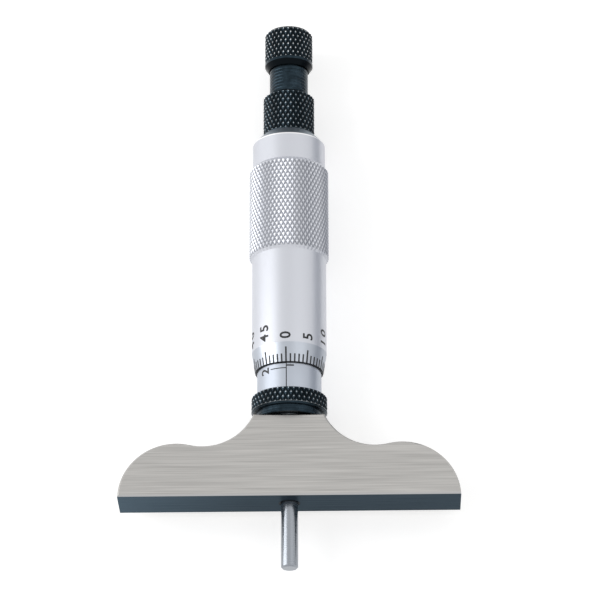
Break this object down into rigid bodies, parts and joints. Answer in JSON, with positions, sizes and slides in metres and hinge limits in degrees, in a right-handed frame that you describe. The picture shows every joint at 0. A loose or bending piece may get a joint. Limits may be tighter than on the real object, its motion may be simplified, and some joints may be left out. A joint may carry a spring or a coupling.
{
  "type": "depth micrometer",
  "caption": "Depth micrometer with a winged flat base, graduated sleeve and thimble, knurled lock nut, ratchet stop and interchangeable rod.",
  "frame": {"origin": "centre of the base's measuring face, on the spindle axis", "axes": "+Y along the spindle towards the ratchet, +X along the base, +Z out of the graduated front; the tool lies on its back"},
  "size_m": [0.0636, 0.1094, 0.0152],
  "materials": {
    "ground_steel": "ground along its length, lapped underneath",
    "satin_chrome": "satin",
    "black_oxide": "black oxide, knurled",
    "polished_steel": "polished",
    "inner_steel": "turned",
    "spring_steel": "drawn wire",
    "collet_brass": "turned"
  },
  "bodies": {
    "frame": {"base": "ground_steel", "barrel": "inner_steel", "sleeve": "satin_chrome", "wear_adjusting_nut": "inner_steel", "lock_collet": "collet_brass"},
    "lock": {"lock_nut": "black_oxide"},
    "rod": {"measuring_rod": "polished_steel", "rod_adjusting_nut": "inner_steel", "rod_jam_nut": "inner_steel"},
    "screw": {"spindle": "inner_steel", "thimble": "satin_chrome", "thimble_nut": "inner_steel"},
    "cap": {"rod_cap": "black_oxide", "ratchet_wheel": "inner_steel", "ratchet_screw": "polished_steel"},
    "knob": {"ratchet_knob": "black_oxide", "ratchet_spring": "spring_steel"},
    "pawl": {"ratchet_ring": "inner_steel"}
  },
  "joints": [
    {"name": "spindle_feed", "type": "slide", "parent": "frame", "child": "rod", "axis": [0, 1, 0], "range_m": [-0.001, 0.024]},
    {"name": "thimble_turn", "type": "hinge", "parent": "rod", "child": "screw", "pos_m": [0, 0.05, 0], "axis": [0, 1, 0], "range_deg": [-720, 17280]},
    {"name": "lock_nut_turn", "type": "hinge", "parent": "frame", "child": "lock", "pos_m": [0, 0.018, 0], "axis": [0, 1, 0], "range_deg": [0, 35]},
    {"name": "cap_lift", "type": "slide", "parent": "screw", "child": "cap", "axis": [0, 1, 0], "range_m": [0, 0.012]},
    {"name": "ratchet_turn", "type": "hinge", "parent": "cap", "child": "knob", "pos_m": [0, 0.092, 0], "axis": [0, 1, 0], "continuous": true},
    {"name": "ratchet_click", "type": "slide", "parent": "knob", "child": "pawl", "axis": [0, 1, 0], "range_m": [0, 0.00042], "stiffness_N_per_m": 200, "springref_m": -0.002, "deforming": ["ratchet_spring"]}
  ],
  "couplings": [
    {"joint": "thimble_turn", "follows": "spindle_feed", "rad_per_m": 12566}
  ]
}
